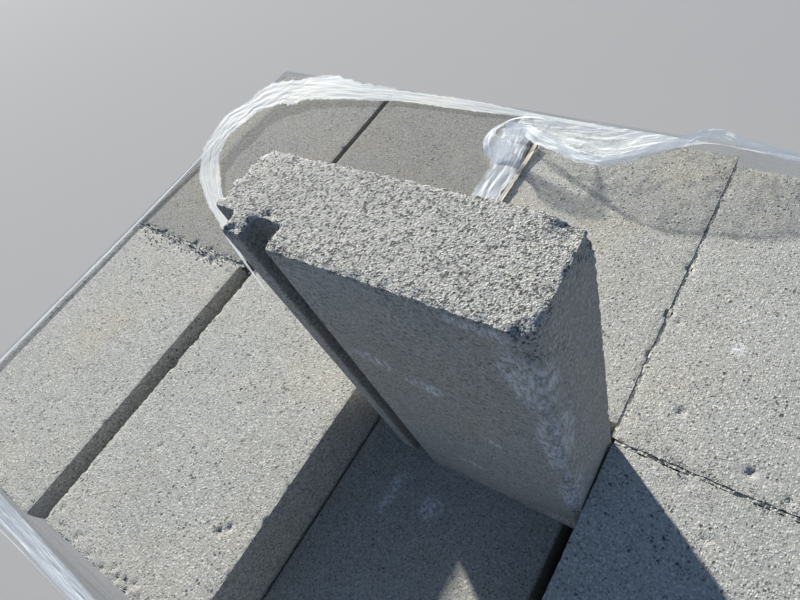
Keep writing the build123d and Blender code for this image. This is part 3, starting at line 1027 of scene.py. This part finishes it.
class BLOCKPALLET_OT_film_wall(bpy.types.Operator):
    """Models the stretched film round the load"""

    bl_idname = "block_pallet.film_wall"
    bl_label = "Film wall"

    def execute(self, context):
        settings = context.scene.block_film
        bm, shares = grid(settings.columns, settings.rows)
        straight_x, straight_y = film_half_x - FILM_CORNER, film_half_y - FILM_CORNER
        arc = FILM_CORNER * math.pi / 2
        runs = [2 * straight_x, arc, 2 * straight_y, arc, 2 * straight_x, arc, 2 * straight_y, arc]
        total = sum(runs)
        for vert, s, t in shares:
            rest = s * total
            index = 0
            while index < 7 and rest > runs[index]:
                rest -= runs[index]
                index += 1
            turn = -(index // 2) * math.pi / 2
            heading = Vector((math.cos(turn), math.sin(turn), 0))
            outward = Vector((-heading.y, heading.x, 0))
            half_along, half_out = (straight_x, straight_y) if index % 4 < 2 else (straight_y, straight_x)
            if index % 2 == 0:
                place = heading * (rest - half_along) + outward * (half_out + FILM_CORNER)
            else:
                bend = rest / FILM_CORNER
                place = heading * half_along + outward * half_out
                outward = outward * math.cos(bend) + heading * math.sin(bend)
                place += FILM_CORNER * outward
            height = film_low.z + t * (load_top + FILM_RISE - film_low.z)
            spot = Vector((place.x, place.y, height))
            slack = clamp((load_top - SLACK_START - height) / SLACK_FADE)
            crease = noise.noise(Vector((spot.x * 5, spot.y * 5, spot.z * 38 + spot.x * 2)))
            ripple = noise.noise(Vector((spot.x * 26, spot.y * 26, spot.z * 9)))
            inward = slack * SLACK_DEPTH + (0.08 + 0.92 * slack) * MM * (2.0 + 1.6 * crease + 1.2 * ripple)
            vert.co = spot - outward * max(0.0, inward)
        bmesh.ops.remove_doubles(bm, verts=bm.verts, dist=WELD)
        wall = keep("film_wall", bm, bpy.data.materials["Film wall"])
        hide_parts("stretch_film")
        return {"FINISHED"}


class BLOCKPALLET_OT_film_folds(bpy.types.Operator):
    """Models the folded top edge of the film along the left, the front and the right"""

    bl_idname = "block_pallet.film_folds"
    bl_label = "Film folds"

    def execute(self, context):
        half_x, half_y = film_half_x / MM, film_half_y / MM
        folds = {
            "film_fold_left": [
                (-half_x + 7, 230, 7, 10, 20, 1), (-half_x + 7, 60, 4, 9, 15, 1),
                (-half_x + 8, -120, 4, 10, 10, 1), (-half_x + 8, -300, 4, 12, 10, 1),
                (-half_x + 12, -455, 5, 14, 10, 1),
            ],
            "film_fold_front": [
                (-half_x + 4, -448, 5, 15, 0, 1), (-520, -449, 5, 20, 5, 1), (-430, -449, 5, 23, 5, 1),
                (-330, -452, 5, 24, 5, 1), (-230, -456, 5, 22, 5, 1), (-120, -459, 5, 19, 5, 1),
                (0, -461, 4, 17, 5, 1), (200, -463, 4, 13, 5, 1), (400, -464, 6, 11, 5, 1),
                (half_x - 6, -462, 6, 12, 0, 1),
            ],
            "film_fold_right": [
                (half_x - 6, -half_y + 6, 5, 11, 0, 1), (half_x - 7, -200, 4, 10, 10, 1),
                (half_x - 7, 100, 4, 10, 10, 1), (half_x - 8, 330, 4, 12, 10, 1),
                (half_x - 8, 455, 5, 14, 0, 1),
            ],
        }
        for name, stations in folds.items():
            bm = ribbon(stations, 300, 18, pleats=7.0, pleat_height=0.45, ragged=0.10, seed=len(name))
            fold = keep(name, bm, bpy.data.materials["Film fold"])
        return {"FINISHED"}


class BLOCKPALLET_OT_film_band(bpy.types.Operator):
    """Models the gathered band that runs from the middle over the back left corner and along the back"""

    bl_idname = "block_pallet.film_band"
    bl_label = "Film band"

    def execute(self, context):
        stations = [
            (-240, -16, 1.5, 2, 0, 0.1), (-300, 8, 1.5, 3, 0, 0.2), (-345, 27, 2, 5, 0, 0.3),
            (-390, 48, 3, 10, 0, 0.4), (-440, 78, 4, 20, 2, 0.7), (-492, 112, 6, 32, 2, 0.9),
            (-545, 152, 10, 42, 3, 1), (-582, 195, 16, 45, 4, 1), (-597, 240, 20, 45, 5, 1.1),
            (-600, 288, 21, 50, 6, 1.1), (-592, 335, 18, 60, 6, 1.1), (-572, 380, 15, 76, 4, 1.2),
            (-535, 410, 12, 80, 3, 1.2), (-480, 430, 10, 74, 2, 1.1), (-381, 441, 8, 51, 2, 1),
            (-289, 451, 6, 34, 2, 0.9), (-199, 455, 5, 30, 2, 0.9), (-124, 457, 5, 26, 2, 0.9),
            (-50, 459, 4, 18, 2, 0.8), (36, 460, 3, 9, 0, 0.6), (150, 458, 3, 5, 0, 0.4),
        ]
        bm = ribbon(stations, 560, 40, pleats=8.0, pleat_height=0.65, ragged=0.30, seed=2.0)
        band = keep("film_band", bm, bpy.data.materials["Film band"])
        return {"FINISHED"}


class BLOCKPALLET_OT_film_flap(bpy.types.Operator):
    """Models the loose flap over the back right, its gathered free edge, the bunch and the tail in the gap"""

    bl_idname = "block_pallet.film_flap"
    bl_label = "Film flap"

    def execute(self, context):
        free_edge = [
            (-30, 400, 22), (8, 402, 24), (38, 385, 27), (84, 368, 32), (125, 352, 38), (158, 348, 42),
            (187, 358, 47), (219, 376, 52), (250, 392, 57), (275, 412, 60), (300, 420, 60), (326, 416, 58),
            (361, 426, 42), (399, 442, 22), (440, 454, 9), (520, 458, 6), (600, 458, 6),
        ]
        bm, shares = grid(260, 26)
        for vert, s, t in shares:
            x, y, rise = through(free_edge, s)
            root = Vector((x, FLAP_ROOT_Y, FLAP_ROOT_RISE))
            free = Vector((x, y, rise))
            place = root.lerp(free, t)
            sag = -math.sin(math.pi * t) * 0.10 * (free - root).length
            crease = noise.noise(Vector((s * 26, t * 2.2, 4)))
            crumple = noise.noise(Vector((s * 105, t * 7, 14)))
            place.z += sag + (3.2 * crease + 1.3 * crumple) * t
            place.y += 2.5 * noise.noise(Vector((s * 40, t * 3, 9))) * t
            vert.co = Vector((place.x * MM, place.y * MM, load_top + place.z * MM))
        flap = keep("film_flap", bm, bpy.data.materials["Film veil"])
        edge_widths = (26, 25, 22, 18, 16, 15, 15, 14, 14, 14, 13, 12, 11, 10, 9, 9, 9)
        edge = [(x, y, rise, width, 40, 1) for (x, y, rise), width in zip(free_edge, edge_widths)]
        bm = ribbon(edge, 320, 16, pleats=3.0, pleat_height=1.7, ragged=0.6, seed=8.0)
        hem = keep("film_flap_edge", bm, bpy.data.materials["Film hem"])
        # x, y and height as read, width, lean, and the height to which the knot goes along the camera's view
        seen = [
            (70, 430, 12, 14, 20, 26), (28, 430, 26, 24, 30, 52), (-8, 422, 30, 30, 35, 62),
            (-32, 407, 27, 34, 35, 54), (-43, 390, 22, 36, 30, 40), (-38, 372, 15, 40, 20, 26),
            (-22, 358, 9, 44, 10, 12), (-6, 345, 5, 40, 0, 5),
        ]
        knot_route = [
            (*raised(x, y, low, high), high, width, lean, 1) for x, y, low, width, lean, high in seen
        ]
        bm = ribbon(knot_route, 200, 30, pleats=6.0, pleat_height=1.5, ragged=0.4, seed=11.0)
        knot = keep("film_knot", bm, bpy.data.materials["Film hem"])
        tail_route = [
            (-16, 412, 14, 60, 0, 1), (-9, 380, 10, 58, 0, 1), (-1, 345, 8, 55, 0, 1), (3, 310, 7, 53, 0, 1),
            (5, 270, 6, 52, 0, 1), (7, 225, 5, 51, 0, 1), (7, 175, 4, 50, 0, 1),
        ]
        bm = ribbon(tail_route, 200, 34, pleats=6.0, pleat_height=1.2, ragged=0.3, seed=17.0)
        tail = keep("film_tail", bm, bpy.data.materials["Film tail"])
        strand_route = [
            (26, 396, 6, 10, 25, 1), (27, 350, 3, 10, 20, 1), (28, 290, 3, 10, 20, 1),
            (28, 180, 3, 10, 20, 1),
        ]
        bm = ribbon(strand_route, 120, 6, pleats=2.0, pleat_height=0.6, ragged=0.5, seed=23.0)
        strand = keep("film_strand", bm, bpy.data.materials["Film strand"])
        return {"FINISHED"}


class BLOCKPALLET_OT_stage(bpy.types.Operator):
    """Sets the floor, the lights and the camera"""

    bl_idname = "block_pallet.stage"
    bl_label = "Stage"

    def execute(self, context):
        scene = context.scene
        settings = scene.block_stage
        bm = bmesh.new()
        bmesh.ops.create_grid(bm, x_segments=8, y_segments=8, size=FLOOR_REACH)
        mesh = bpy.data.meshes.new("floor")
        bm.to_mesh(mesh)
        bm.free()
        floor = bpy.data.objects.new("floor", mesh)
        scene.collection.objects.link(floor)
        material, w, surface = new_material("Floor")
        w.feed(surface.inputs, {"Base Color": settings.floor, "Roughness": 1.0, "Specular IOR Level": 0.0})
        mesh.materials.append(material)

        key_data = bpy.data.lights.new("key", "AREA")
        key_data.shape = "DISK"
        key_data.size = settings.key_size
        key_data.energy = settings.key_power
        key_data.color = KEY_COLOUR
        key = bpy.data.objects.new("key", key_data)
        towards = Vector((*KEY_TOWARDS, 0)).normalized() * math.cos(KEY_ELEVATION)
        towards.z = math.sin(KEY_ELEVATION)
        key.location = Vector((0, 0, load_top)) + towards * KEY_DISTANCE
        key.rotation_euler = towards.to_track_quat("Z", "Y").to_euler()
        scene.collection.objects.link(key)

        world = bpy.data.worlds.new("studio")
        scene.world = world
        world.use_nodes = True
        world.node_tree.nodes.clear()
        w = Wiring(world.node_tree)
        path = w.node("ShaderNodeLightPath").outputs
        seen = w.math("MAXIMUM", path["Is Glossy Ray"], path["Is Transmission Ray"])
        seen = w.math("MAXIMUM", path["Is Camera Ray"], seen)
        sky = w.node("ShaderNodeBackground", {"Color": SKY_COLOUR, "Strength": settings.sky})
        backdrop = w.node("ShaderNodeBackground", {"Color": BACKDROP_COLOUR, "Strength": BACKDROP_STRENGTH})
        both = w.node("ShaderNodeMixShader", {0: seen, 1: sky.outputs[0], 2: backdrop.outputs[0]})
        w.node("ShaderNodeOutputWorld", {0: both.outputs[0]})

        camera_data = bpy.data.cameras.new("camera")
        camera_data.lens = CAMERA_LENS_MM
        camera_data.shift_x, camera_data.shift_y = CAMERA_SHIFT
        camera_data.clip_start = 0.02
        camera = bpy.data.objects.new("camera", camera_data)
        right, up = Vector(CAMERA_RIGHT).normalized(), Vector(CAMERA_UP).normalized()
        axes = Matrix((right, up, right.cross(up))).transposed().to_4x4()
        camera.matrix_world = Matrix.Translation(CAMERA_PLACE) @ axes
        scene.collection.objects.link(camera)
        scene.camera = camera
        scene.view_settings.view_transform = "Standard"
        return {"FINISHED"}


class BLOCKPALLET_PT_panel(bpy.types.Panel):
    """Lists the steps that finish the pallet"""

    bl_label = "Block Pallet"
    bl_idname = "BLOCKPALLET_PT_panel"
    bl_space_type = "VIEW_3D"
    bl_region_type = "UI"
    bl_category = "Block Pallet"

    def draw(self, context):
        for step in STEPS:
            self.layout.operator(step.bl_idname)


SETTINGS = {
    "block_concrete": ConcreteSettings,
    "block_timber": TimberSettings,
    "block_film": FilmSettings,
    "block_stage": StageSettings,
}
STEPS = (
    BLOCKPALLET_OT_materials,
    BLOCKPALLET_OT_timber,
    BLOCKPALLET_OT_full_layers,
    BLOCKPALLET_OT_top_layer,
    BLOCKPALLET_OT_upright_block,
    BLOCKPALLET_OT_crumbs,
    BLOCKPALLET_OT_film_wall,
    BLOCKPALLET_OT_film_folds,
    BLOCKPALLET_OT_film_band,
    BLOCKPALLET_OT_film_flap,
    BLOCKPALLET_OT_stage,
)
CLASSES = (*SETTINGS.values(), *STEPS, BLOCKPALLET_PT_panel)


def register():
    for cls in CLASSES:
        bpy.utils.register_class(cls)
    for name, group in SETTINGS.items():
        setattr(bpy.types.Scene, name, PointerProperty(type=group))


def unregister():
    for name in SETTINGS:
        delattr(bpy.types.Scene, name)
    for cls in reversed(CLASSES):
        bpy.utils.unregister_class(cls)


def main():
    register()
    bpy.ops.block_pallet.materials()
    bpy.ops.block_pallet.timber()
    bpy.ops.block_pallet.full_layers()
    bpy.ops.block_pallet.top_layer()
    bpy.ops.block_pallet.upright_block()
    bpy.ops.block_pallet.crumbs()
    bpy.ops.block_pallet.film_wall()
    bpy.ops.block_pallet.film_folds()
    bpy.ops.block_pallet.film_band()
    bpy.ops.block_pallet.film_flap()
    bpy.ops.block_pallet.stage()


if __name__ == "__main__":
    main()
